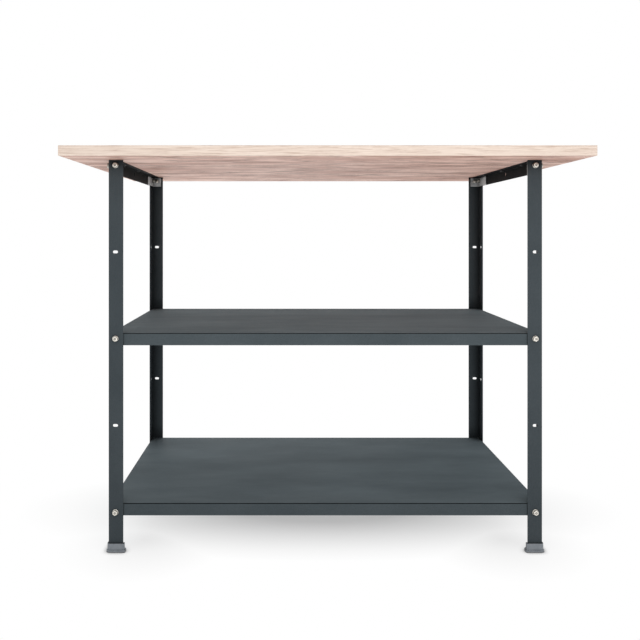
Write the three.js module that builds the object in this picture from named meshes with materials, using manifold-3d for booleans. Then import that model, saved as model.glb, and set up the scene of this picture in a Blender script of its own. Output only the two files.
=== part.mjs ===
// Assembly table: a laminated top on a bolted frame of slotted steel angle, with two folded steel shelves.
// Millimetres, +Z up. The origin is on the floor under the middle of the top, and the front faces -Y.

import * as THREE from 'three';
import { mergeVertices } from 'three/addons/utils/BufferGeometryUtils.js';
import Module from 'manifold-3d';

const wasm = await Module();
wasm.setup();

// Frame: overall size over the outer faces of the uprights, and the angle they are folded from
const frameWidth = 1000;
const frameDepth = 500;
const uprightLength = 899;
const angleLeg = 34;
const angleSheet = 2;
const angleBend = 3;

// Slots: one row in each leg of an upright, counted from its top end
const slotPitch = 200;
const slotEnd = 12;
const slotLine = 16;
const slotLength = 12;
const lowestSlot = 60;

// Flange bolts and nuts, M6
const boltDiameter = 6;
const boltLength = 12;
const boltPoint = 0.8;
const boltFlange = 13.6;
const boltFlangeRim = 0.8;
const boltFlangeHeight = 1.8;
const boltHead = 6;
const boltHex = 10;
const boltDish = 7;
const boltDishDepth = 0.8;
const boltClearance = 0.6;
const nutHeight = 5;
const threadClearance = 0.3;

// Table top: a laminated board with an edge band on each side
const topThickness = 23;
const bandThickness = 2;
const bandRound = 1.5;
const sideOverhang = 87.5;
const frontOverhang = 85;
const rearOverhang = 150;

// Side rails: an angle with its web upright, under the board between the front and rear uprights
const railHeight = 28;
const railFlange = 22;
const railSheet = 2;
const railBend = 3;
const railEndGap = 0.5;
const railSlotWidth = 8;

// Wood screws, up through the rails' flanges into the board
const screwDiameter = 4;
const screwLength = 16;
const screwPoint = 4;
const screwHead = 8;
const screwHeadHeight = 2.6;
const screwHeadRim = 1;
const screwHeadCrown = 4.4;
const screwClearance = 0.4;
const screwPastBracket = 15;
const screwLine = 14;

// Corner brackets: a folded strip, the short wing on the upright and the long wing along the rail
const bracketHeight = 25;
const bracketShortWing = 25;
const bracketLongWing = 80;
const bracketSheet = 2;
const bracketBend = 3;
const bracketDrop = 3;

// Shelves: folded trays, and how far each one's top stands above the bolts that carry it
const shelfSheet = 1;
const shelfFlange = 28;
const shelfLip = 12;
const shelfBend = 2.5;
const shelfCorner = 3;
const shelfSeam = 1;
const shelfSideGap = 0.5;
const middleShelfRise = 12.5;
const lowerShelfRise = 20;

// Feet: a base plate with a collar that takes the end of the upright
const footHeight = 20;
const footFloor = 4;
const footWall = 2.5;
const footClearance = 0.3;
const footBaseHeight = 5;
const footBaseLip = 2;
const footChamfer = 30;

// Facets in a fold or a rounded edge, in a slot's round end, and all round a turned part
const foldFacets = 4;
const slotFacets = 6;
const roundFacets = 16;
const overcut = 1;

// Sizes that follow from those above
const topWidth = frameWidth + 2 * sideOverhang;
const topDepth = frontOverhang + frameDepth + rearOverhang;
const uprightTop = footFloor + uprightLength;
const frontPlane = frontOverhang - topDepth / 2;
const rearPlane = frontPlane + frameDepth;
const frameMiddle = (frontPlane + rearPlane) / 2;
const slotHeight = boltDiameter + boltClearance;
const slotCount = Math.floor((uprightLength - slotEnd - lowestSlot) / slotPitch) + 1;
const slotHeights = Array.from({ length: slotCount }, (_, i) => uprightTop - slotEnd - i * slotPitch);
const railBoltHeight = slotHeights[0];
const middleBoltHeight = slotHeights[Math.floor((slotCount - 1) / 2)];
const lowerBoltHeight = slotHeights[slotCount - 1];
const bracketTop = uprightTop - bracketDrop;
const railInset = angleBend + railEndGap;
const railLength = frameDepth - 2 * railInset;
const shelfWidth = frameWidth - 2 * (angleSheet + shelfSideGap);
const shelfDepth = frameDepth - 2 * angleSheet;
const shelfSlotDrop = (middleShelfRise + lowerShelfRise) / 2;
const shelfSlotLength = Math.abs(lowerShelfRise - middleShelfRise) + slotHeight + boltClearance;
const quarterTurn = Math.PI / 2;

function finish(color, roughness, metalness) {
  return new THREE.MeshStandardMaterial({ color, roughness, metalness, flatShading: true });
}

const powderCoat = finish('#484f53', 0.45, 0.2);
const laminate = finish('#d8c3b2', 0.55, 0);
const edgeBand = finish('#ebddcf', 0.5, 0);
const zinc = finish('#d2d3d0', 0.35, 1);
const galvanised = finish('#9aa0a3', 0.5, 1);
const greyPlastic = finish('#868b90', 0.6, 0);

// Solids: joining and cutting closed meshes

function toSolid(geometry) {
  const bare = geometry.clone();
  bare.deleteAttribute('normal');
  bare.deleteAttribute('uv');
  const merged = mergeVertices(bare);
  const corners = merged.index.array;
  const triangles = [];
  for (let i = 0; i < corners.length; i += 3) {
    const [a, b, c] = corners.slice(i, i + 3);
    if (a !== b && b !== c && c !== a) triangles.push(a, b, c);
  }
  const vertProperties = new Float32Array(merged.attributes.position.array);
  const triVerts = new Uint32Array(triangles);
  return new wasm.Manifold(new wasm.Mesh({ numProp: 3, vertProperties, triVerts }));
}

function toGeometry(solid) {
  const { vertProperties, triVerts } = solid.getMesh();
  const geometry = new THREE.BufferGeometry();
  geometry.setAttribute('position', new THREE.BufferAttribute(vertProperties, 3));
  geometry.setIndex(new THREE.BufferAttribute(triVerts, 1));
  return geometry;
}

function combine(operation, first, others) {
  return toGeometry(others.reduce((body, other) => body[operation](toSolid(other)), toSolid(first)));
}

const cut = (body, tools) => combine('subtract', body, tools);
const join = (body, others) => combine('add', body, others);
const overlap = (body, others) => combine('intersect', body, others);

// A mirror image across X or Y, or both, with its faces still pointing out
function mirrored(geometry, x, y) {
  const copy = geometry.clone().scale(x, y, 1);
  if (x * y > 0) return copy;
  const corners = copy.index.array;
  for (let i = 0; i < corners.length; i += 3) {
    [corners[i], corners[i + 1]] = [corners[i + 1], corners[i]];
  }
  return copy;
}

// Profiles and the forms made from them

// A form of constant section along +Z. An arc gets two facets for each curve segment.
function extrude(shape, depth, arcFacets = foldFacets) {
  return new THREE.ExtrudeGeometry(shape, { depth, curveSegments: arcFacets / 2, bevelEnabled: false });
}

// A round form about Z, from [radius, height] points that start and end on the axis
function turned(points) {
  const profile = points.map(([radius, height]) => new THREE.Vector2(radius, height));
  return new THREE.LatheGeometry(profile, roundFacets).rotateX(quarterTurn);
}

function drill(diameter, depth) {
  const radius = diameter / 2;
  return turned([[0, 0], [radius, 0], [radius, depth], [0, depth]]);
}

function hexagon(acrossFlats) {
  const radius = acrossFlats / Math.sqrt(3);
  const turns = Array.from({ length: 6 }, (_, i) => (i + 0.5) * Math.PI / 3);
  const corners = turns.map((turn) => new THREE.Vector2(radius * Math.cos(turn), radius * Math.sin(turn)));
  return new THREE.Shape(corners);
}

// The section of a folded angle with the fold's outer corner at the origin and the legs along +X and +Y
function angleSection(legX, legY, sheet, bend) {
  const inside = Math.max(bend - sheet, 0);
  const shape = new THREE.Shape();
  shape.moveTo(bend, 0);
  shape.lineTo(legX, 0);
  shape.lineTo(legX, sheet);
  shape.lineTo(sheet + inside, sheet);
  if (inside > 0) {
    shape.absarc(sheet + inside, sheet + inside, inside, -quarterTurn, -2 * quarterTurn, true);
  }
  shape.lineTo(sheet, legY);
  shape.lineTo(0, legY);
  shape.lineTo(0, bend);
  shape.absarc(bend, bend, bend, 2 * quarterTurn, 3 * quarterTurn);
  return shape;
}

// A cutter for a round-ended slot through a wall that faces Y: it starts at y = 0 and runs along -Y
function slotTool(length, depth, width = slotHeight) {
  const radius = width / 2;
  const run = length / 2 - radius;
  const shape = new THREE.Shape();
  shape.absarc(run, 0, radius, -quarterTurn, quarterTurn);
  shape.absarc(-run, 0, radius, quarterTurn, 3 * quarterTurn);
  return extrude(shape, depth, slotFacets).rotateX(quarterTurn);
}

// Cutters for a level slot in the leg along X and in the leg along Y of an angle, and for an upright one
// in the leg along Y
function slotAlongX(x, sheet, height) {
  return slotTool(slotLength, sheet + 2 * overcut).translate(x, sheet + overcut, height);
}

function slotAlongY(y, sheet, height) {
  return slotTool(slotLength, sheet + 2 * overcut).rotateZ(quarterTurn).translate(-overcut, y, height);
}

function uprightSlot(y, sheet, height) {
  const tool = slotTool(slotLength, sheet + 2 * overcut, railSlotWidth).rotateY(quarterTurn);
  return tool.rotateZ(quarterTurn).translate(-overcut, y, height);
}

// Table top

function topBoard() {
  const width = topWidth - 2 * bandThickness;
  const depth = topDepth - 2 * bandThickness;
  const board = new THREE.BoxGeometry(width, depth, topThickness).translate(0, 0, topThickness / 2);
  const pilotDepth = screwLength - railSheet + screwClearance;
  const holes = screwPlaces.map(({ x, y }) => {
    return drill(screwDiameter + screwClearance, pilotDepth + overcut).translate(x, y, -overcut);
  });
  return cut(board, holes);
}

// A band that faces +X, centred on its length, with its outer edges rounded
function band(length) {
  const shape = new THREE.Shape();
  const rounding = bandThickness - bandRound;
  shape.moveTo(0, 0);
  shape.lineTo(rounding, 0);
  shape.absarc(rounding, bandRound, bandRound, -quarterTurn, 0);
  shape.absarc(rounding, topThickness - bandRound, bandRound, 0, quarterTurn);
  shape.lineTo(0, topThickness);
  return extrude(shape, length).translate(0, 0, -length / 2).rotateX(quarterTurn);
}

// Frame

function upright() {
  const bar = extrude(angleSection(angleLeg, angleLeg, angleSheet, angleBend), uprightLength);
  const slots = slotHeights.flatMap((height) => {
    const along = height - footFloor;
    return [slotAlongX(slotLine, angleSheet, along), slotAlongY(slotLine, angleSheet, along)];
  });
  return cut(bar, slots);
}

// The left rail, from its front end along +Y, with the fold's outer corner at the origin. Its slots stand
// upright, so that they cross those of the uprights.
function sideRail() {
  const section = angleSection(railFlange, railHeight, railSheet, railBend);
  const bar = extrude(section, railLength).rotateX(-quarterTurn);
  const endSlot = slotLine - railInset;
  const slotPlaces = [endSlot, railLength / 2, railLength - endSlot];
  const slots = slotPlaces.map((y) => uprightSlot(y, railSheet, -slotEnd));
  const holes = screwSteps.map((step) => {
    const hole = drill(screwDiameter + screwClearance, railSheet + 2 * overcut);
    return hole.translate(screwLine - angleSheet, railLength / 2 + step, -railSheet - overcut);
  });
  return cut(bar, [...slots, ...holes]);
}

// The front left bracket, with the fold's outer corner at the origin
function cornerBracket() {
  const section = angleSection(bracketShortWing, bracketLongWing, bracketSheet, bracketBend);
  const strip = extrude(section, bracketHeight);
  const height = railBoltHeight - bracketTop + bracketHeight;
  return cut(strip, [
    slotAlongX(slotLine - angleSheet - railSheet, bracketSheet, height),
    slotAlongY(slotLine - angleSheet, bracketSheet, height),
  ]);
}

// The front left foot, about the outer corner of its upright
function foot() {
  const gap = footClearance;
  const reach = gap + footWall;
  const grown = (by) => {
    const leg = angleLeg + 2 * by;
    return angleSection(leg, leg, angleSheet + 2 * by, angleBend + by);
  };
  const low = -reach - footBaseLip;
  const high = angleLeg + reach + footBaseLip;
  const corner = angleBend + reach + footBaseLip;
  const outline = new THREE.Shape();
  outline.moveTo(low + corner, low);
  outline.lineTo(high, low);
  outline.lineTo(high, high - footChamfer);
  outline.lineTo(high - footChamfer, high);
  outline.lineTo(low, high);
  outline.lineTo(low, low + corner);
  outline.absarc(low + corner, low + corner, corner, 2 * quarterTurn, 3 * quarterTurn);
  const base = extrude(outline, footBaseHeight);
  const collar = extrude(grown(reach), footHeight).translate(-reach, -reach, 0);
  const socketDepth = footHeight - footFloor + overcut;
  const socket = extrude(grown(gap), socketDepth).translate(-gap, -gap, footFloor);
  return cut(join(base, [collar]), [socket]);
}

// Shelves

// A bar along Y with a flat bottom and its two long upper edges rounded
function roundTopped(width, length, height, radius) {
  const shape = new THREE.Shape();
  shape.moveTo(-width / 2, 0);
  shape.lineTo(width / 2, 0);
  shape.absarc(width / 2 - radius, height - radius, radius, 0, quarterTurn);
  shape.absarc(radius - width / 2, height - radius, radius, quarterTurn, 2 * quarterTurn);
  return extrude(shape, length).translate(0, 0, -length / 2).rotateX(quarterTurn);
}

function roundCornered(width, depth, height, radius) {
  const x = width / 2 - radius;
  const y = depth / 2 - radius;
  const shape = new THREE.Shape();
  shape.absarc(x, y, radius, 0, quarterTurn);
  shape.absarc(-x, y, radius, quarterTurn, 2 * quarterTurn);
  shape.absarc(-x, -y, radius, 2 * quarterTurn, 3 * quarterTurn);
  shape.absarc(x, -y, radius, 3 * quarterTurn, 4 * quarterTurn);
  return extrude(shape, height);
}

// A block with all four upper edges and all four upright edges rounded
function trayBlock(width, depth, height, bend, corner) {
  const across = roundTopped(depth, width, height, bend).rotateZ(quarterTurn);
  const plan = roundCornered(width, depth, height, corner);
  return overlap(roundTopped(width, depth, height, bend), [across, plan]);
}

// A tray with its flanges down and their lips turned in, a mitred seam below each corner, and an upright
// slot near each end of the front and rear flanges. The origin is in the middle, at the height of the
// lips' underside.
function shelf() {
  const block = trayBlock(shelfWidth, shelfDepth, shelfFlange, shelfBend, shelfCorner);
  const inside = trayBlock(
    shelfWidth - 2 * shelfSheet,
    shelfDepth - 2 * shelfSheet,
    shelfFlange - 2 * shelfSheet,
    shelfBend - shelfSheet,
    shelfCorner - shelfSheet,
  ).translate(0, 0, shelfSheet);
  const mouthHeight = shelfSheet + overcut;
  const mouth = new THREE.BoxGeometry(shelfWidth - 2 * shelfLip, shelfDepth - 2 * shelfLip, 2 * mouthHeight);
  const slots = [-1, 1].map((side) => {
    const tool = slotTool(shelfSlotLength, shelfDepth + 2 * overcut).rotateY(quarterTurn);
    const x = side * (frameWidth / 2 - slotLine);
    return tool.translate(x, shelfDepth / 2 + overcut, shelfFlange - shelfSlotDrop);
  });
  const seamLength = 2 * (shelfLip + overcut) * Math.SQRT2;
  const seamHeight = shelfFlange - shelfBend + overcut;
  const seams = [[-1, -1], [-1, 1], [1, -1], [1, 1]].map(([side, face]) => {
    const mitre = side * face * quarterTurn / 2;
    const tool = new THREE.BoxGeometry(seamLength, shelfSeam, seamHeight).rotateZ(mitre);
    return tool.translate(side * shelfWidth / 2, face * shelfDepth / 2, seamHeight / 2 - overcut);
  });
  return cut(block, [inside, mouth, ...slots, ...seams]);
}

// Fasteners: each sits on its bearing face at z = 0 with its shank along +Z

function bolt() {
  const shank = boltDiameter / 2;
  const flange = boltFlange / 2;
  const hexCorner = boltHex / Math.sqrt(3);
  const stem = turned([
    [0, -boltFlangeHeight],
    [hexCorner, -boltFlangeHeight],
    [flange, -boltFlangeRim],
    [flange, 0],
    [shank, 0],
    [shank, boltLength - boltPoint],
    [shank - boltPoint, boltLength],
    [0, boltLength],
  ]);
  const hex = extrude(hexagon(boltHex), boltHead - boltFlangeRim).translate(0, 0, -boltHead);
  const dish = turned([
    [0, -boltHead - overcut],
    [boltDish / 2, -boltHead - overcut],
    [boltDish / 2, -boltHead],
    [0, boltDishDepth - boltHead],
  ]);
  return cut(join(stem, [hex]), [dish]);
}

function nut() {
  const shape = hexagon(boltHex);
  const bore = new THREE.Path().absarc(0, 0, (boltDiameter + threadClearance) / 2, 0, 4 * quarterTurn);
  shape.holes.push(bore);
  return extrude(shape, nutHeight, roundFacets);
}

function woodScrew() {
  const shank = screwDiameter / 2;
  return turned([
    [0, -screwHeadHeight],
    [screwHeadCrown / 2, -screwHeadHeight],
    [screwHead / 2, -screwHeadRim],
    [screwHead / 2, 0],
    [shank, 0],
    [shank, screwLength - screwPoint],
    [0, screwLength],
  ]);
}

// Assembly

const table = new THREE.Group();

function add(parent, name, geometry, material, position, rotation = [0, 0, 0]) {
  const mesh = new THREE.Mesh(geometry, material);
  mesh.name = name;
  mesh.position.set(...position);
  mesh.rotation.set(...rotation, 'ZYX');
  parent.add(mesh);
}

// The screws of a rail: one just past each bracket and one in the middle
const bracketReach = angleSheet + bracketLongWing;
const screwReach = frameDepth / 2 - bracketReach - screwPastBracket;
const screwSteps = [-screwReach, 0, screwReach];
const screwNames = ['front', 'middle', 'rear'];
const sides = [['left', -1], ['right', 1]];
const faces = [['front', -1, frontPlane], ['rear', 1, rearPlane]];
const screwPlaces = sides.flatMap(([sideName, side]) => screwSteps.map((step, i) => ({
  name: `top_screw_${sideName}_${screwNames[i]}`,
  x: side * (frameWidth / 2 - screwLine),
  y: frameMiddle + step,
})));

add(table, 'table_top_board', topBoard(), laminate, [0, 0, uprightTop]);

// The front and rear bands run the whole width, and the side bands fit between them
for (const [name, side] of sides) {
  const place = [side * (topWidth / 2 - bandThickness), 0, uprightTop];
  const turn = [0, 0, (1 - side) * quarterTurn];
  add(table, `edge_band_${name}`, band(topDepth - 2 * bandThickness), edgeBand, place, turn);
}
for (const [name, face] of faces) {
  const place = [0, face * (topDepth / 2 - bandThickness), uprightTop];
  add(table, `edge_band_${name}`, band(topWidth), edgeBand, place, [0, 0, face * quarterTurn]);
}

const railGeometry = sideRail();
for (const [name, side] of sides) {
  const x = side * (frameWidth / 2 - angleSheet);
  const rail = mirrored(railGeometry, -side, 1);
  add(table, `side_rail_${name}`, rail, powderCoat, [x, frontPlane + railInset, uprightTop]);
}

const middleShelfTop = middleBoltHeight + middleShelfRise;
const lowerShelfTop = lowerBoltHeight + lowerShelfRise;
const shelfGeometry = shelf();
add(table, 'middle_shelf', shelfGeometry, powderCoat, [0, frameMiddle, middleShelfTop - shelfFlange]);
add(table, 'lower_shelf', shelfGeometry, powderCoat, [0, frameMiddle, lowerShelfTop - shelfFlange]);

const screwGeometry = woodScrew();
for (const { name, x, y } of screwPlaces) {
  add(table, name, screwGeometry, zinc, [x, y, uprightTop - railSheet]);
}

const uprightGeometry = upright();
const footGeometry = foot();
const bracketGeometry = cornerBracket();
const boltGeometry = bolt();
const nutGeometry = nut();

// Bolts through the leg that faces front or rear: their height and the sheets that they clamp
const faceBolts = [
  ['bracket', railBoltHeight, angleSheet + bracketSheet],
  ['middle_shelf', middleBoltHeight, angleSheet + shelfSheet],
  ['lower_shelf', lowerBoltHeight, angleSheet + shelfSheet],
];
const railGrip = angleSheet + railSheet + bracketSheet;

// Each corner's pieces are made for the front left and mirrored to the others. Places in a corner are
// measured inwards from the outer faces of its upright.
for (const [sideName, side] of sides) {
  for (const [faceName, face, plane] of faces) {
    const corner = new THREE.Group();
    corner.position.set(side * frameWidth / 2, plane, 0);
    table.add(corner);
    const name = `${faceName}_${sideName}`;
    const inward = (x, y, z) => [-side * x, -face * y, z];
    const here = (geometry) => mirrored(geometry, -side, -face);
    const intoFace = [face * quarterTurn, 0, 0];
    const intoSide = [-quarterTurn, 0, side * quarterTurn];

    add(corner, `upright_${name}`, here(uprightGeometry), powderCoat, [0, 0, footFloor]);
    add(corner, `foot_${name}`, here(footGeometry), greyPlastic, [0, 0, 0]);
    const bracketPlace = inward(angleSheet + railSheet, angleSheet, bracketTop - bracketHeight);
    add(corner, `corner_bracket_${name}`, here(bracketGeometry), galvanised, bracketPlace);

    for (const [held, height, grip] of faceBolts) {
      add(corner, `${held}_bolt_${name}`, boltGeometry, zinc, inward(slotLine, 0, height), intoFace);
      add(corner, `${held}_nut_${name}`, nutGeometry, zinc, inward(slotLine, grip, height), intoFace);
    }
    add(corner, `rail_bolt_${name}`, boltGeometry, zinc, inward(0, slotLine, railBoltHeight), intoSide);
    add(corner, `rail_nut_${name}`, nutGeometry, zinc, inward(railGrip, slotLine, railBoltHeight), intoSide);
  }
}

export default table;
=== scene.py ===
# The look of the assembly table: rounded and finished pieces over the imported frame, a pale floor, soft light
# and a camera at the photograph's place. Metres, +Z up, the front faces -Y.

import math

import bmesh
import bpy
from mathutils import Matrix, Vector


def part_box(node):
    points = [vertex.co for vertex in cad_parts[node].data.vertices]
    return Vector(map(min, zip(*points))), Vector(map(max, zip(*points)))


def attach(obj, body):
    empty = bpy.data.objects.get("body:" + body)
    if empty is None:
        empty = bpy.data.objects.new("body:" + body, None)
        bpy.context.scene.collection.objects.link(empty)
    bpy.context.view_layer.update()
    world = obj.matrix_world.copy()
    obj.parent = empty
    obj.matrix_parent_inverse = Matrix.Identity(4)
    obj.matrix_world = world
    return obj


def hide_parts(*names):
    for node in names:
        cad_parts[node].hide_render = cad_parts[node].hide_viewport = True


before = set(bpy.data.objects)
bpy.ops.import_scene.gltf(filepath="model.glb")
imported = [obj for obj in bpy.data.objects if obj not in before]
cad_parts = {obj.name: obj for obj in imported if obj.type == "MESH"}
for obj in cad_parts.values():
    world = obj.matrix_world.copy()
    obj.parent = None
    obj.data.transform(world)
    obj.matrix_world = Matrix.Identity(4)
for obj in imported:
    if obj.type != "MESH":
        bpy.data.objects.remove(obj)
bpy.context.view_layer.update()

MM = 0.001


def srgb(red, green, blue):
    """A colour given as it looks on a screen, 0 to 255, as the linear colour that a shader takes."""
    def linear(value):
        share = value / 255
        return share / 12.92 if share <= 0.04045 else ((share + 0.055) / 1.055) ** 2.4
    return (linear(red), linear(green), linear(blue), 1.0)


# Camera: the picture's size, the point that level lines going back run to and the lens, in pixels, then the
# sensor in millimetres and the camera's place
IMAGE_SIDE = 640
VANISHING_POINT = (286.0, 232.0)
FOCAL_LENGTH = 670.5
SENSOR = 36.0
CAMERA_PLACE = Vector((-0.0908, -1.8275, 0.7369))

# Rounding left by forming and coating on the edges of each kind of piece
STEEL_RIM = 0.35 * MM
SHELF_RIM = 0.25 * MM
BRACKET_RIM = 0.3 * MM
FOOT_RIM = 0.6 * MM
BOARD_RIM = 0.25 * MM
BAND_RIM = 0.2 * MM
RIM_STEPS = 2

# Meshes: how near two points are one, and the angles up to which an edge is flat, from which it is rounded
# and up to which it is shaded smooth
MERGE_DISTANCE = 0.005 * MM
FLAT_ANGLE = math.radians(1)
SHARP_ANGLE = math.radians(35)
SMOOTH_ANGLE = math.radians(40)

# Turned shapes: points round a ring, rings to a thread's pitch, and the depth of a thread
TURN_STEPS = 36
THREAD_STEPS = 4
THREAD_DEPTH = 0.55 * MM

# M6 flange bolt: shank, flange with a sloped shoulder, hexagon, and a dished crown with a boss in the dish
BOLT_LENGTH = 12 * MM
BOLT_RADIUS = 3 * MM
BOLT_PITCH = 1 * MM
BOLT_POINT = 0.8 * MM
BOLT_TIP = BOLT_RADIUS - BOLT_POINT
FLANGE_RADIUS = 6.8 * MM
FLANGE_EDGE = 0.2 * MM
FLANGE_RIM = 0.8 * MM
SHOULDER_INSET = 0.3 * MM
SHOULDER_HEIGHT = 1.05 * MM
FLANGE_HEIGHT = 1.8 * MM
HEAD_HEIGHT = 6 * MM
HEX_FLATS = 10 * MM
HEX_FILLET = 0.1 * MM
CROWN_RADIUS = 4.7 * MM
CROWN_SLOPE = math.tan(math.radians(30))
DISH_RADIUS = 2.7 * MM
DISH_FOOT_RADIUS = 2.5 * MM
DISH_FLOOR_RADIUS = 2.1 * MM
DISH_DEPTH = 1.6 * MM
DISH_FILLET = 0.3 * MM
BOSS_FOOT_RADIUS = 1.3 * MM
BOSS_RADIUS = 1.0 * MM
BOSS_DEPTH = 0.7 * MM

# M6 nut
NUT_HEIGHT = 5 * MM
NUT_BORE = 3.15 * MM
NUT_SINK = 0.5 * MM

# Pan head wood screw with a cross recess
SCREW_LENGTH = 16 * MM
SCREW_RADIUS = 2 * MM
SCREW_PITCH = 1.8 * MM
SCREW_POINT = 4 * MM
SCREW_TIP = 0.4 * MM
SCREW_HEAD_RADIUS = 4 * MM
SCREW_HEAD_HEIGHT = 2.6 * MM
SCREW_HEAD_RIM = 1 * MM
SCREW_CROWN_RADIUS = 2.8 * MM
DOME_STEPS = 3
RECESS_REACH = 2.3 * MM
RECESS_WIDTH = 0.9 * MM
RECESS_DEPTH = 1.5 * MM
RECESS_TAPER = 0.6
TINY = 1e-6

# Paint: the tones of each kind of piece, from dark to pale, and its wear, dust, painted shade and painted
# light
WHITE = srgb(255, 255, 255)
COAT = (srgb(67, 74, 78), srgb(74, 81, 85))
SHELF_COAT = (srgb(75, 83, 87), srgb(82, 90, 94))
# The rails' coat is the same paint made darker, as painted shade under the top
RAIL_SHADED_COAT = (srgb(26, 27, 28), srgb(31, 32, 33))
RUBBED_COAT = srgb(96, 103, 107)
COAT_SPECK = srgb(225, 225, 225)
# Painted shade that darkens the coat in corners and under the top
COAT_CORNER_SHADE = srgb(145, 145, 145)
# Painted shade along a shelf's folds
FOLD_SHADE = srgb(80, 80, 80)
# Pale dust on the shelves' level faces, made paler still as painted light
DUST_AND_PAINTED_LIGHT = srgb(138, 150, 155)
DUST_AND_LIGHT_CELLS = (2.5, 9.0, 1.0)

# Oak decor: dark, middle and pale tones, and the length and width of its dashes, fibres and pores
TOP_OAK = (srgb(202, 175, 156), srgb(229, 208, 193), srgb(238, 221, 208))
# The underside's oak: a pinker copy with deeper grain, as painted shade and warm bounced light
UNDER_OAK_PAINTED_LIGHT = (srgb(126, 85, 71), srgb(208, 166, 151), srgb(247, 214, 200))
BAND_OAK = (srgb(194, 170, 154), srgb(227, 209, 195), srgb(237, 221, 208))
TOP_FIGURE = (300 * MM, 6 * MM)
UNDER_FIGURE = (150 * MM, 40 * MM)
BAND_FIGURE = (110 * MM, 2.4 * MM)
FIBRE_WIDTH = 1.6 * MM
PORE_LENGTH = 14 * MM
PORE_WIDTH = 0.6 * MM

# Metal and plastic: the tones from dark to pale, and the colours of edges, of painted shade and of the
# collar's rim
ZINC = (srgb(218, 213, 203), srgb(240, 236, 228))
# Painted shade on zinc: in its fine crevices, then in the recesses round bolts and nuts
ZINC_CREVICE_SHADE = srgb(72, 69, 62)
BOLT_PAINTED_SHADE = srgb(112, 111, 108)
NUT_PAINTED_SHADE = srgb(170, 168, 164)
BLACK_ZINC = (srgb(30, 31, 31), srgb(40, 41, 41))
BLACK_ZINC_EDGE = srgb(70, 71, 71)
SPANGLE = (srgb(168, 172, 174), srgb(186, 189, 190), srgb(202, 204, 205))
# Painted shade in the bracket's corners
SPANGLE_CREVICE_SHADE = srgb(150, 148, 142)
PLASTIC = (srgb(122, 128, 134), srgb(134, 139, 145))
PLASTIC_EDGE = srgb(150, 155, 161)
# Painted shade in the foot's crevices
PLASTIC_CREVICE_SHADE = srgb(60, 62, 64)
COLLAR_RIM_BLACK = srgb(24, 25, 26)
COLLAR_RIM_BLACK_FROM = 15 * MM
COLLAR_RIM_BLACK_FULL = 18 * MM

# A cloudy noise lies mostly between these two values
CLOUD_LOW = 0.3
CLOUD_HIGH = 0.7

# Floor: its half width and grey, and the table's shadow on it. The shadow is an oval whose middle lies in
# front of the origin, with its half sizes, the share of them that is its core, and how white the core is.
FLOOR_REACH = 6.0
FLOOR_GREY = (0.9, 0.9, 0.9, 1.0)
SHADOW_FORWARD = 30 * MM
SHADOW_ACROSS = 800 * MM
SHADOW_ALONG = 300 * MM
SHADOW_CORE = 0.3
SHADOW_WHITE = 0.42

# Each foot has a round shadow too. Its middle, a little inwards of the foot, is given from the frame's
# middle, which lies in front of the origin, and counts as half way out of the table's shadow.
FRAME_FORWARD = 32.5 * MM
FOOT_SHADOW_ACROSS = 430 * MM
FOOT_SHADOW_ALONG = 190 * MM
FOOT_SHADOW_REACH = 200 * MM
FOOT_SHADOW_PAST = 0.5

# Painted contact shadow: a dark line where a foot meets the floor
CONTACT_REACH = 15 * MM
CONTACT_SHADOW_GREY = srgb(120, 120, 120)

# The world's light on the pieces, where 1 is white
FILL = 0.75


# Node helpers

def wire(tree, target, name, value):
    socket = target.inputs[name]
    if isinstance(value, bpy.types.NodeSocket):
        tree.links.new(value, socket)
    else:
        socket.default_value = value


def add_node(tree, kind, inputs=None, **settings):
    made = tree.nodes.new("ShaderNode" + kind)
    for name, value in settings.items():
        setattr(made, name, value)
    for name, value in (inputs or {}).items():
        wire(tree, made, name, value)
    return made


def start_material(name):
    """A new material, its node tree, its shader and the place on the object, in metres."""
    material = bpy.data.materials.new(name)
    material.use_nodes = True
    tree = material.node_tree
    place = add_node(tree, "TexCoord").outputs["Object"]
    return material, tree, tree.nodes["Principled BSDF"], place


def stretched(tree, place, scale):
    return add_node(tree, "Mapping", {"Vector": place, "Scale": scale}).outputs["Vector"]


def shifted(tree, place, shift):
    return add_node(tree, "Mapping", {"Vector": place, "Location": shift}).outputs["Vector"]


def noise(tree, place, cells=1.0, detail=2.0, roughness=0.5):
    """Noise from 0 to 1, with this many cells to each metre of the place."""
    inputs = {"Vector": place, "Scale": cells, "Detail": detail, "Roughness": roughness}
    return add_node(tree, "TexNoise", inputs).outputs["Fac"]


def spread(tree, value, low, high, to_low=0.0, to_high=1.0):
    """The value's range from low to high, turned into the range from to_low to to_high."""
    inputs = {"Value": value, "From Min": low, "From Max": high, "To Min": to_low, "To Max": to_high}
    return add_node(tree, "MapRange", inputs).outputs["Result"]


def combine(tree, operation, first, second):
    return add_node(tree, "Math", {0: first, 1: second}, operation=operation).outputs[0]


def product(tree, first, second):
    return combine(tree, "MULTIPLY", first, second)


def vertical(tree, vector):
    return add_node(tree, "SeparateXYZ", {0: vector}).outputs["Z"]


def face_normal(tree):
    return add_node(tree, "NewGeometry").outputs["Normal"]


def ramp(tree, value, stops):
    made = add_node(tree, "ValToRGB", {"Fac": value})
    elements = made.color_ramp.elements
    for place, _ in stops[2:]:
        elements.new(place)
    for element, (place, color) in zip(elements, stops):
        element.position = place
        element.color = color
    return made.outputs["Color"]


def clouded(tree, cloud, tones):
    """The tones, from dark to pale, spread over a cloudy noise."""
    dark, pale = tones
    return ramp(tree, cloud, [(CLOUD_LOW, dark), (CLOUD_HIGH, pale)])


def blend(tree, share, first, second, mode="MIX"):
    made = add_node(tree, "Mix", data_type="RGBA", blend_type=mode)
    for index, value in ((0, share), (6, first), (7, second)):
        wire(tree, made, index, value)
    return made.outputs[2]


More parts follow.
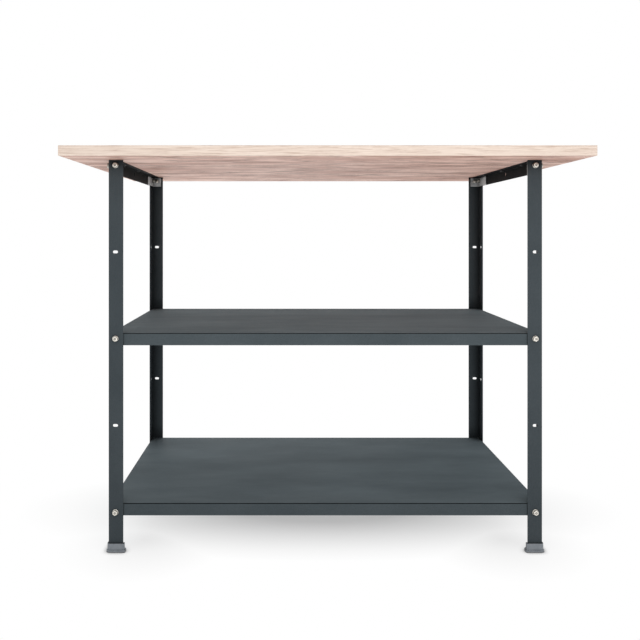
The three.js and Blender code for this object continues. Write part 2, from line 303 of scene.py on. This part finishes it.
def edges(tree, radius):
    """1 on sharp edges and 0 on flat faces, from how far a rounded normal turns from the face's own."""
    rounded = add_node(tree, "Bevel", {"Radius": radius}, samples=4).outputs["Normal"]
    inputs = {0: rounded, 1: face_normal(tree)}
    along = add_node(tree, "VectorMath", inputs, operation="DOT_PRODUCT").outputs["Value"]
    return spread(tree, along, low=0.99, high=0.8)


def crevices(tree, reach):
    """1 in the open and towards 0 in corners and hollows."""
    return add_node(tree, "AmbientOcclusion", {"Distance": reach}, samples=8).outputs["AO"]


def shaded_in_crevices(tree, unshaded, shade_color, reach, deep, clear):
    """A colour with painted shade where the crevices are, full at one value of theirs and gone at another."""
    overlay = ramp(tree, crevices(tree, reach), [(deep, shade_color), (clear, WHITE)])
    return blend(tree, 1.0, unshaded, overlay, "MULTIPLY")


def roughen(tree, shader, cloud, at_low, at_high):
    """Roughness that follows a cloudy noise."""
    wire(tree, shader, "Roughness", spread(tree, cloud, CLOUD_LOW, CLOUD_HIGH, at_low, at_high))


def bump(tree, shader, height, distance, strength):
    inputs = {"Height": height, "Distance": distance, "Strength": strength}
    wire(tree, shader, "Normal", add_node(tree, "Bump", inputs).outputs["Normal"])


def shown_rays(tree):
    """1 for what the camera sees, directly, mirrored or through glass, and 0 for rays that only light."""
    path = add_node(tree, "LightPath").outputs
    seen = combine(tree, "MAXIMUM", path["Is Camera Ray"], path["Is Glossy Ray"])
    return combine(tree, "MAXIMUM", seen, path["Is Transmission Ray"])


# Materials

def shelf_folds_dust_and_light(tree, place, painted):
    """A shelf's paint: painted shade along its folds, and wiped dust with painted light on its level face."""
    rise = vertical(tree, face_normal(tree))
    # Painted shade along the folds, standing in for the dark reflection of the bends
    folds = [(0.3, WHITE), (0.5, FOLD_SHADE), (0.9, FOLD_SHADE), (0.985, WHITE)]
    folded = blend(tree, 1.0, painted, ramp(tree, rise, folds), "MULTIPLY")
    # Wiped dust on the level face, which also paints light onto it
    wiped = noise(tree, stretched(tree, place, DUST_AND_LIGHT_CELLS), detail=4.0, roughness=0.6)
    overlay = spread(tree, wiped, 0.35, 0.65, 0.08, 0.24)
    level = spread(tree, rise, 0.98, 0.99)
    return blend(tree, product(tree, overlay, level), folded, DUST_AND_PAINTED_LIGHT)


def powder_coat(name, tones, gloss, smooth, rough, shelf=False):
    """Satin powder coat with a fine orange peel, paler rubbed edges and painted shade in the corners."""
    material, tree, shader, place = start_material(name)
    cloud = noise(tree, place, cells=7.0, detail=4.0)
    speck = clouded(tree, noise(tree, place, cells=900.0), (COAT_SPECK, WHITE))
    coated = blend(tree, 1.0, clouded(tree, cloud, tones), speck, "MULTIPLY")
    worn = product(tree, edges(tree, 0.8 * MM), noise(tree, place, cells=60.0, detail=3.0))
    edged = blend(tree, worn, coated, RUBBED_COAT)
    # Painted shade where corners and nearby parts close in
    painted = shaded_in_crevices(tree, edged, COAT_CORNER_SHADE, reach=40 * MM, deep=0.45, clear=0.95)
    if shelf:
        painted = shelf_folds_dust_and_light(tree, place, painted)
    wire(tree, shader, "Base Color", painted)
    roughen(tree, shader, cloud, smooth, rough)
    shader.inputs["Specular IOR Level"].default_value = gloss
    peel = noise(tree, place, cells=700.0, detail=1.0)
    bump(tree, shader, peel, distance=0.1 * MM, strength=0.25)
    return material


def oak(name, along, figure, tones):
    """Oak-look decor with its grain along X or Y: a faint long figure, dark fibres that gather in dashes, and
    pores. The figure is a dash's length and width."""
    material, tree, shader, place = start_material(name)
    dark, middle, pale = tones
    length, width = figure

    def grain(length, width, detail, roughness=0.5):
        scale = (1 / length, 1 / width, 1 / width) if along == "X" else (1 / width, 1 / length, 1 / width)
        return noise(tree, stretched(tree, place, scale), detail=detail, roughness=roughness)

    tone = ramp(tree, grain(2 * length, width, 5.0, 0.7), [(0.43, middle), (0.57, pale)])
    dashes = spread(tree, grain(length, width, 4.0, 0.8), 0.48, 0.57, 0.12, 1.0)
    fibres = spread(tree, grain(0.5 * length, FIBRE_WIDTH, 3.0, 0.6), 0.4, 0.62)
    pores = spread(tree, grain(PORE_LENGTH, PORE_WIDTH, 1.0), 0.6, 0.7, 0.0, 0.5)
    open_pores = product(tree, pores, dashes)
    fibred = blend(tree, product(tree, dashes, fibres), tone, dark)
    wire(tree, shader, "Base Color", blend(tree, open_pores, fibred, dark))
    wire(tree, shader, "Roughness", spread(tree, fibres, 0.0, 1.0, 0.6, 0.72))
    shader.inputs["Specular IOR Level"].default_value = 0.15
    bump(tree, shader, open_pores, distance=-0.06 * MM, strength=0.3)
    return material


def zinc(name, hollow_shade):
    """Bright zinc plate with a faint warm tint, slightly clouded, with painted shade in its fine crevices and
    in the recesses round it.
    """
    material, tree, shader, place = start_material(name)
    shader.inputs["Metallic"].default_value = 1.0
    cloud = noise(tree, place, cells=450.0, detail=3.0)
    crevice_shaded = shaded_in_crevices(tree, clouded(tree, cloud, ZINC), ZINC_CREVICE_SHADE, reach=1.5 * MM, deep=0.35, clear=0.9)
    wire(tree, shader, "Base Color", shaded_in_crevices(tree, crevice_shaded, hollow_shade, reach=25 * MM, deep=0.4, clear=0.8))
    roughen(tree, shader, cloud, 0.42, 0.26)
    grain = noise(tree, place, cells=2500.0, detail=1.0)
    bump(tree, shader, grain, distance=0.02 * MM, strength=0.2)
    return material


def black_zinc():
    """Black passivated zinc plate, with the plate showing through on the edges."""
    material, tree, shader, place = start_material("black_zinc")
    cloud = noise(tree, place, cells=600.0, detail=3.0)
    plate = clouded(tree, cloud, BLACK_ZINC)
    wire(tree, shader, "Base Color", blend(tree, edges(tree, 0.3 * MM), plate, BLACK_ZINC_EDGE))
    roughen(tree, shader, cloud, 0.5, 0.38)
    grain = noise(tree, place, cells=2500.0, detail=1.0)
    bump(tree, shader, grain, distance=0.02 * MM, strength=0.2)
    return material


def galvanised():
    """Hot dip galvanised sheet with its spangle, and painted shade in its corners."""
    material, tree, shader, place = start_material("galvanised")
    shader.inputs["Metallic"].default_value = 1.0
    cells = add_node(tree, "TexVoronoi", {"Vector": place, "Scale": 190.0}).outputs["Color"]
    crystal = add_node(tree, "SeparateColor", {"Color": cells}).outputs["Red"]
    plate = ramp(tree, crystal, list(zip((0.0, 0.5, 1.0), SPANGLE)))
    wire(tree, shader, "Base Color", shaded_in_crevices(tree, plate, SPANGLE_CREVICE_SHADE, reach=6 * MM, deep=0.3, clear=0.9))
    wire(tree, shader, "Roughness", spread(tree, crystal, 0.0, 1.0, 0.38, 0.55))
    bump(tree, shader, noise(tree, place, cells=900.0), distance=0.05 * MM, strength=0.2)
    return material


def foot_plastic():
    """Grey moulded plastic with a fine spark-eroded texture, painted shade in its crevices, and black on the
    collar's upper rim.
    """
    material, tree, shader, place = start_material("foot_plastic")
    cloud = noise(tree, place, cells=90.0, detail=3.0)
    moulded = blend(tree, edges(tree, 0.8 * MM), clouded(tree, cloud, PLASTIC), PLASTIC_EDGE)
    crevice_shaded = shaded_in_crevices(tree, moulded, PLASTIC_CREVICE_SHADE, reach=5 * MM, deep=0.35, clear=0.9)
    # Black on the collar's level faces above a height
    level = spread(tree, vertical(tree, face_normal(tree)), 0.3, 0.7)
    high = spread(tree, vertical(tree, place), COLLAR_RIM_BLACK_FROM, COLLAR_RIM_BLACK_FULL)
    wire(tree, shader, "Base Color", blend(tree, product(tree, level, high), crevice_shaded, COLLAR_RIM_BLACK))
    roughen(tree, shader, cloud, 0.48, 0.6)
    texture = noise(tree, place, cells=1600.0, detail=1.0)
    bump(tree, shader, texture, distance=0.05 * MM, strength=0.3)
    return material


# Mesh helpers

def finish_mesh(shape, name):
    """The shape as an object with smooth faces and sharp creases, lit flat across its flat faces."""
    bmesh.ops.recalc_face_normals(shape, faces=shape.faces)
    for face in shape.faces:
        face.smooth = True
    for edge in shape.edges:
        edge.smooth = edge.is_manifold and edge.calc_face_angle() < SMOOTH_ANGLE
    mesh = bpy.data.meshes.new(name)
    shape.to_mesh(mesh)
    shape.free()
    made = bpy.data.objects.new(name, mesh)
    bpy.context.scene.collection.objects.link(made)
    normals = made.modifiers.new("weighted_normals", "WEIGHTED_NORMAL")
    normals.keep_sharp = True
    return made


def is_flat(edge):
    return edge.is_manifold and edge.calc_face_angle() < FLAT_ANGLE


def flat_regions(shape):
    """Groups of neighbouring faces that lie in one plane, except for a single triangle or quad."""
    regions, seen = [], set()
    for start in shape.faces:
        if start in seen:
            continue
        seen.add(start)
        region = [start]
        for face in region:
            neighbours = [other for edge in face.edges if is_flat(edge) for other in edge.link_faces]
            for other in neighbours:
                if other not in seen:
                    seen.add(other)
                    region.append(other)
        if len(region) > 1 or len(start.verts) > 4:
            regions.append(region)
    return regions


def fill_flats(shape):
    """Fills each flat face anew round its holes, with triangles that don't cross them."""
    for region in flat_regions(shape):
        outline = [edge for face in region for edge in face.edges if not is_flat(edge)]
        normal = region[0].normal.copy()
        bmesh.ops.delete(shape, geom=region, context="FACES_KEEP_BOUNDARY")
        bmesh.ops.triangle_fill(shape, use_beauty=True, edges=outline, normal=normal)


def rounded_copy(node, rim):
    """A copy of a node's solid with its sharp edges rounded and its flat faces filled anew."""
    shape = bmesh.new()
    shape.from_mesh(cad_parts[node].data)
    bmesh.ops.remove_doubles(shape, verts=shape.verts, dist=MERGE_DISTANCE)
    bmesh.ops.dissolve_limit(shape, angle_limit=FLAT_ANGLE, verts=shape.verts, edges=shape.edges)
    sharp = [edge for edge in shape.edges if edge.is_manifold and edge.calc_face_angle() > SHARP_ANGLE]
    bmesh.ops.bevel(
        shape, geom=sharp, offset=rim, segments=RIM_STEPS, profile=0.5, affect="EDGES", clamp_overlap=True
    )
    bmesh.ops.remove_doubles(shape, verts=shape.verts, dist=MERGE_DISTANCE)
    # In millimetres, because the rims' short edges are below the fill's tolerance in metres
    shape.transform(Matrix.Scale(1 / MM, 4))
    fill_flats(shape)
    shape.transform(Matrix.Scale(MM, 4))
    return shape


def loft(rings, closed=False):
    """A skin through rings of points, capped at both ends or closed round on itself."""
    shape = bmesh.new()
    rows = [[shape.verts.new(point) for point in ring] for ring in rings]
    pairs = list(zip(rows, rows[1:]))
    if closed:
        pairs.append((rows[-1], rows[0]))
    else:
        shape.faces.new(rows[0])
        shape.faces.new(rows[-1])
    for near, far in pairs:
        for i in range(TURN_STEPS):
            j = (i + 1) % TURN_STEPS
            shape.faces.new((near[i], near[j], far[j], far[i]))
    return shape


def ring(radius, height):
    """A ring about Z. The radius and the height are numbers or functions of the turn."""
    points = []
    for i in range(TURN_STEPS):
        turn = 2 * math.pi * i / TURN_STEPS
        reach = radius(turn) if callable(radius) else radius
        level = height(turn) if callable(height) else height
        points.append(Vector((reach * math.cos(turn), reach * math.sin(turn), level)))
    return points


# Fasteners, each with its bearing face's middle at the origin and its shank or bore along +Z

def hexagon(turn):
    """The reach of the hexagon that bolts and nuts share, which has corners along Y."""
    sixth = math.pi / 3
    return HEX_FLATS / 2 / math.cos((turn + sixth / 2) % sixth - sixth / 2)


def crown(turn):
    """How far the hexagon's chamfer drops below the crown at its edge."""
    return max(hexagon(turn) - CROWN_RADIUS, 0) * CROWN_SLOPE


def thread(radius, pitch, point, tip, length):
    """Rings of a threaded shank, from its tip back to z = 0. Over the length called point it narrows to the
    radius called tip."""
    count = round(length / pitch * THREAD_STEPS)

    def reach(level):
        cone = tip + (length - level) / point * (radius - tip)

        def at(turn):
            phase = (level / pitch - turn / (2 * math.pi)) % 1
            return min(radius - THREAD_DEPTH * abs(2 * phase - 1), cone)
        return at

    levels = [length * (1 - i / count) for i in range(count + 1)]
    return [ring(reach(level), level) for level in levels]


def bolt_shape():
    corner = HEX_FLATS / math.sqrt(3) + HEX_FILLET
    dish_floor = DISH_DEPTH - HEAD_HEIGHT
    return loft([
        *thread(BOLT_RADIUS, BOLT_PITCH, BOLT_POINT, BOLT_TIP, BOLT_LENGTH),
        ring(FLANGE_RADIUS - FLANGE_EDGE, 0),
        ring(FLANGE_RADIUS, -FLANGE_EDGE),
        ring(FLANGE_RADIUS, -FLANGE_RIM),
        ring(FLANGE_RADIUS - SHOULDER_INSET, -SHOULDER_HEIGHT),
        ring(corner, -FLANGE_HEIGHT),
        ring(hexagon, -FLANGE_HEIGHT),
        ring(hexagon, lambda turn: crown(turn) - HEAD_HEIGHT),
        ring(CROWN_RADIUS, -HEAD_HEIGHT),
        ring(DISH_RADIUS, -HEAD_HEIGHT),
        ring(DISH_FOOT_RADIUS, dish_floor - DISH_FILLET),
        ring(DISH_FLOOR_RADIUS, dish_floor),
        ring(BOSS_FOOT_RADIUS, dish_floor),
        ring(BOSS_RADIUS, BOSS_DEPTH - HEAD_HEIGHT),
    ])


def nut_shape():
    mouth = NUT_BORE + NUT_SINK
    return loft([
        ring(NUT_BORE, NUT_SINK),
        ring(mouth, 0),
        ring(CROWN_RADIUS, 0),
        ring(hexagon, crown),
        ring(hexagon, lambda turn: NUT_HEIGHT - crown(turn)),
        ring(CROWN_RADIUS, NUT_HEIGHT),
        ring(mouth, NUT_HEIGHT),
        ring(NUT_BORE, NUT_HEIGHT - NUT_SINK),
    ], closed=True)


def screw_shape():
    def cross(turn):
        """The reach of the driver's recess, a cross of two bars."""
        across, along = abs(math.cos(turn)), abs(math.sin(turn))
        bars = []
        for end, side in ((across, along), (along, across)):
            bars.append(min(RECESS_REACH / max(end, TINY), RECESS_WIDTH / 2 / max(side, TINY)))
        return max(bars)

    def dome(step):
        """A ring of the head's dome, from its rim at step 0 to its crown."""
        rise = math.pi / 2 * step / DOME_STEPS
        inset = (SCREW_HEAD_RADIUS - SCREW_CROWN_RADIUS) * (1 - math.cos(rise))
        height = SCREW_HEAD_RIM + (SCREW_HEAD_HEIGHT - SCREW_HEAD_RIM) * math.sin(rise)
        return ring(SCREW_HEAD_RADIUS - inset, -height)

    return loft([
        *thread(SCREW_RADIUS, SCREW_PITCH, SCREW_POINT, SCREW_TIP, SCREW_LENGTH),
        ring(SCREW_HEAD_RADIUS, 0),
        *(dome(step) for step in range(DOME_STEPS + 1)),
        ring(cross, -SCREW_HEAD_HEIGHT),
        ring(lambda turn: RECESS_TAPER * cross(turn), RECESS_DEPTH - SCREW_HEAD_HEIGHT),
    ])


def seat(node, along, head):
    """The move and turn that put a fastener in its node's place. Its axis is the longest or shortest side of
    the node's box, and head is the length behind the bearing face."""
    low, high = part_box(node)
    middle, size = (low + high) / 2, high - low
    axis = max(range(3), key=lambda i: size[i] if along == "long" else -size[i])
    inward = Vector((0, 0, 0))
    inward[axis] = 1 if axis == 2 or middle[axis] < 0 else -1
    up = Vector((0, 1, 0)) if axis == 2 else Vector((0, 0, 1))
    bearing = middle - inward * (size[axis] / 2 - head)
    turned = Matrix((up.cross(inward), up, inward)).transposed().to_4x4()
    return Matrix.Translation(bearing) @ turned


# Pieces over the frame's nodes

def place_piece(shape, node, material):
    piece = finish_mesh(shape, node + "_finish")
    piece.data.materials.append(material)
    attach(piece, "root")
    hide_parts(node)
    return piece


def face_underside(piece, material):
    """Gives the faces that look down a material of their own: a pinker copy of the oak, as painted shade and
    warm bounced light.
    """
    piece.data.materials.append(material)
    for face in piece.data.polygons:
        face.material_index = int(face.normal.z < -0.5)


coat = powder_coat("powder_coat", COAT, gloss=0.03, smooth=0.46, rough=0.56)
shelf_coat = powder_coat("shelf_coat", SHELF_COAT, gloss=0.02, smooth=0.6, rough=0.7, shelf=True)
# The rails take the darker copy of the coat, as painted shade
rail_shaded_coat = powder_coat("rail_shaded_coat", RAIL_SHADED_COAT, gloss=0.02, smooth=0.46, rough=0.56)
bolt_plate = zinc("zinc", BOLT_PAINTED_SHADE)
nut_plate = zinc("nut_zinc", NUT_PAINTED_SHADE)
black_plate = black_zinc()
sheet = galvanised()
plastic = foot_plastic()
decor = oak("laminate", "X", TOP_FIGURE, TOP_OAK)
under_decor_painted_light = oak("laminate_under_painted_light", "X", UNDER_FIGURE, UNDER_OAK_PAINTED_LIGHT)
long_band = oak("edge_band_long", "X", BAND_FIGURE, BAND_OAK)
side_band = oak("edge_band_side", "Y", BAND_FIGURE, BAND_OAK)
names = sorted(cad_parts)

for starts, rim, slot, material in (
    ("upright_", STEEL_RIM, "powder_coat", coat),
    ("side_rail_", STEEL_RIM, "powder_coat", rail_shaded_coat),
    (("middle_shelf", "lower_shelf"), SHELF_RIM, "powder_coat", shelf_coat),
    ("corner_bracket_", BRACKET_RIM, "galvanised", sheet),
    ("foot_", FOOT_RIM, "foot_plastic", plastic),
    ("table_top_board", BOARD_RIM, "laminate", decor),
    (("edge_band_front", "edge_band_rear"), BAND_RIM, "edge_band", long_band),
    (("edge_band_left", "edge_band_right"), BAND_RIM, "edge_band", side_band),
):
    for node in names:
        if node.startswith(starts) and "_bolt_" not in node and "_nut_" not in node:
            piece = place_piece(rounded_copy(node, rim), node, material)
            if node == "table_top_board":
                face_underside(piece, under_decor_painted_light)

for mark, make_shape, along, head, material in (
    ("_bolt_", bolt_shape, "long", HEAD_HEIGHT, bolt_plate),
    ("_nut_", nut_shape, "short", 0.0, nut_plate),
    ("top_screw_", screw_shape, "long", SCREW_HEAD_HEIGHT, black_plate),
):
    for node in names:
        if mark in node:
            shape = make_shape()
            shape.transform(seat(node, along, head))
            place_piece(shape, node, material)


# Floor, backdrop, lamps and camera

def past_table(tree, place):
    """0 in the core of the table's shadow and 1 past the shadow."""
    shrunk = stretched(tree, place, (1 / SHADOW_ACROSS, 1 / SHADOW_ALONG, 1))
    centred = shifted(tree, shrunk, (0, SHADOW_FORWARD / SHADOW_ALONG, 0))
    distance = add_node(tree, "VectorMath", {0: centred}, operation="LENGTH").outputs["Value"]
    return spread(tree, distance, SHADOW_CORE, 1.0)


def past_feet(tree, place):
    """1 past the feet's shadows, and less towards the middle of each."""
    centred = shifted(tree, place, (0, FRAME_FORWARD, 0))
    folded = add_node(tree, "VectorMath", {0: centred}, operation="ABSOLUTE").outputs["Vector"]
    inputs = {0: folded, 1: (FOOT_SHADOW_ACROSS, FOOT_SHADOW_ALONG, 0)}
    distance = add_node(tree, "VectorMath", inputs, operation="DISTANCE").outputs["Value"]
    return spread(tree, distance, 0.0, FOOT_SHADOW_REACH, FOOT_SHADOW_PAST, 1.0)


def floor_material():
    """A matt white floor that keeps the shadow near the table, has a painted contact shadow round the feet and
    is plain white further out.
    """
    material, tree, shader, place = start_material("floor")
    shader.inputs["Base Color"].default_value = FLOOR_GREY
    shader.inputs["Roughness"].default_value = 1.0
    shader.inputs["Specular IOR Level"].default_value = 0.0
    # Painted contact shadow, darker where the floor meets a foot
    contact = ramp(tree, crevices(tree, CONTACT_REACH), [(0.5, CONTACT_SHADOW_GREY), (0.95, WHITE)])
    white = add_node(tree, "Emission", {"Color": contact, "Strength": 1.0}).outputs[0]
    past = combine(tree, "MINIMUM", past_table(tree, place), past_feet(tree, place))
    whiteness = spread(tree, past, 0.0, 1.0, SHADOW_WHITE, 1.0)
    share = product(tree, shown_rays(tree), whiteness)
    mixed = add_node(tree, "MixShader", {0: share, 1: shader.outputs[0], 2: white})
    tree.links.new(mixed.outputs[0], tree.nodes["Material Output"].inputs["Surface"])
    return material


def make_floor():
    shape = bmesh.new()
    bmesh.ops.create_grid(shape, x_segments=4, y_segments=4, size=FLOOR_REACH)
    mesh = bpy.data.meshes.new("floor")
    shape.to_mesh(mesh)
    shape.free()
    mesh.materials.append(floor_material())
    floor = bpy.data.objects.new("floor", mesh)
    bpy.context.scene.collection.objects.link(floor)


def make_world():
    """White where it is seen or mirrored, and a dim even fill for the rest."""
    world = bpy.data.worlds.new("studio")
    bpy.context.scene.world = world
    world.use_nodes = True
    tree = world.node_tree
    background = tree.nodes["Background"]
    background.inputs["Color"].default_value = WHITE
    wire(tree, background, "Strength", spread(tree, shown_rays(tree), 0.0, 1.0, FILL, 1.0))


def softbox(name, place, target, size, power, color=(1, 1, 1)):
    """A lamp of the given width and height, in watts, that looks at the target and isn't seen itself."""
    lamp = bpy.data.lights.new(name, "AREA")
    lamp.color = color
    lamp.shape = "RECTANGLE"
    lamp.size, lamp.size_y = size
    lamp.energy = power
    made = bpy.data.objects.new(name, lamp)
    made.location = place
    made.rotation_euler = (Vector(target) - Vector(place)).to_track_quat("-Z", "Y").to_euler()
    made.visible_camera = False
    bpy.context.scene.collection.objects.link(made)


def make_camera():
    lens = bpy.data.cameras.new("camera")
    lens.sensor_width = SENSOR
    lens.lens = FOCAL_LENGTH * SENSOR / IMAGE_SIDE
    lens.shift_x = (IMAGE_SIDE / 2 - VANISHING_POINT[0]) / IMAGE_SIDE
    lens.shift_y = (VANISHING_POINT[1] - IMAGE_SIDE / 2) / IMAGE_SIDE
    camera = bpy.data.objects.new("camera", lens)
    camera.location = CAMERA_PLACE
    camera.rotation_euler = (math.pi / 2, 0, 0)
    bpy.context.scene.collection.objects.link(camera)
    bpy.context.scene.camera = camera


make_floor()
make_world()
softbox("key", place=(0.6, -2.8, 1.7), target=(0, 0, 0.45), size=(2.6, 1.4), power=18)
softbox("bounce_front", place=(0.15, -1.5, 0.03), target=(0.15, -1.5, 1), size=(1.2, 1.6), power=8.5)
softbox("back", place=(-1.0, 2.7, 2.0), target=(0, 0, 0.3), size=(2.6, 0.8), power=20, color=(0.8, 0.95, 1))
softbox("back_low", place=(-0.3, 1.4, 0.45), target=(-0.2, 0.95, 0), size=(1.4, 0.14), power=7)
make_camera()
bpy.context.scene.view_settings.view_transform = "Standard"
